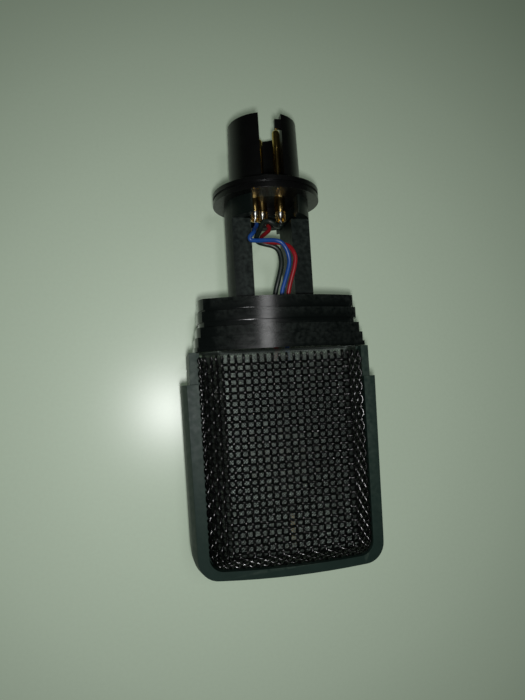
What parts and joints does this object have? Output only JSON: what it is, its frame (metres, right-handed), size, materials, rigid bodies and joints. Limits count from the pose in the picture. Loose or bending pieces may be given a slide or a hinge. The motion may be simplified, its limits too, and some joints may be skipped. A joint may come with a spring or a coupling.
{
  "type": "side address microphone",
  "caption": "Flat side-address dynamic microphone with woven grilles, open neck with leads, and a male audio connector.",
  "frame": {"origin": "centre of the bounding box's base, where the rear grille rests", "axes": "+Y along the microphone towards the connector, +Z out of the front grille, +X to the right seen from the front with the connector up"},
  "size_m": [0.055, 0.1275, 0.034],
  "materials": {
    "shell_black": "semi-gloss moulded black",
    "carrier_black": "satin moulded black",
    "plug_black": "gloss moulded black",
    "frame_paint": "satin dark grey-green paint",
    "grille_wire": "gloss black coated wire",
    "gauze_wire": "fine grey wire",
    "gold": "gold plated",
    "insert_black": "matte moulded black",
    "screw_steel": "zinc plated",
    "spring_brass": "bare brass strip",
    "cradle_plastic": "matte moulded black",
    "mount_rubber": "soft black rubber",
    "board": "green laminate",
    "lead_blue": "blue insulation",
    "lead_red": "red insulation",
    "lead_dark": "dark grey-green insulation",
    "housing_metal": "turned and dulled",
    "felt": "felt",
    "steel": "nickel plated steel",
    "magnet_grey": "dull sintered magnet",
    "ring_brass": "brass ring",
    "cap_plastic": "moulded dark grey",
    "film": "thin polyester film",
    "copper": "enamelled copper"
  },
  "bodies": {
    "housing": {"connector_shell": "shell_black", "pin_insert": "insert_black", "contact_pin_1": "gold", "contact_pin_2": "gold", "contact_pin_3": "gold", "neck_carrier": "carrier_black", "carrier_screws": "screw_steel", "shoulder_plug": "plug_black", "head_frame": "frame_paint", "frame_screws": "screw_steel", "front_grille": "grille_wire", "front_gauze": "gauze_wire", "rear_grille": "grille_wire", "rear_gauze": "gauze_wire", "grille_contact_spring": "spring_brass", "capsule_cradle": "cradle_plastic", "cradle_screws": "screw_steel", "shock_mount": "mount_rubber", "terminal_board": "board", "wire_blue": "lead_blue", "wire_red": "lead_red", "wire_dark": "lead_dark"},
    "capsule": {"capsule_housing": "housing_metal", "rear_damping_disc": "felt", "magnet_pot": "steel", "magnet": "magnet_grey", "pole_plate": "steel", "outer_pole_ring": "steel", "diaphragm_ring": "ring_brass", "capsule_cap": "cap_plastic"},
    "diaphragm": {"diaphragm": "film", "voice_coil": "copper"}
  },
  "joints": [
    {"name": "capsule_float", "type": "slide", "parent": "housing", "child": "capsule", "axis": [0, 0, 1], "range_m": [-0.001, 0.001], "stiffness_N_per_m": 1900},
    {"name": "diaphragm_travel", "type": "slide", "parent": "capsule", "child": "diaphragm", "axis": [0, 0, 1], "range_m": [-0.0004, 0.0004], "stiffness_N_per_m": 1000}
  ]
}
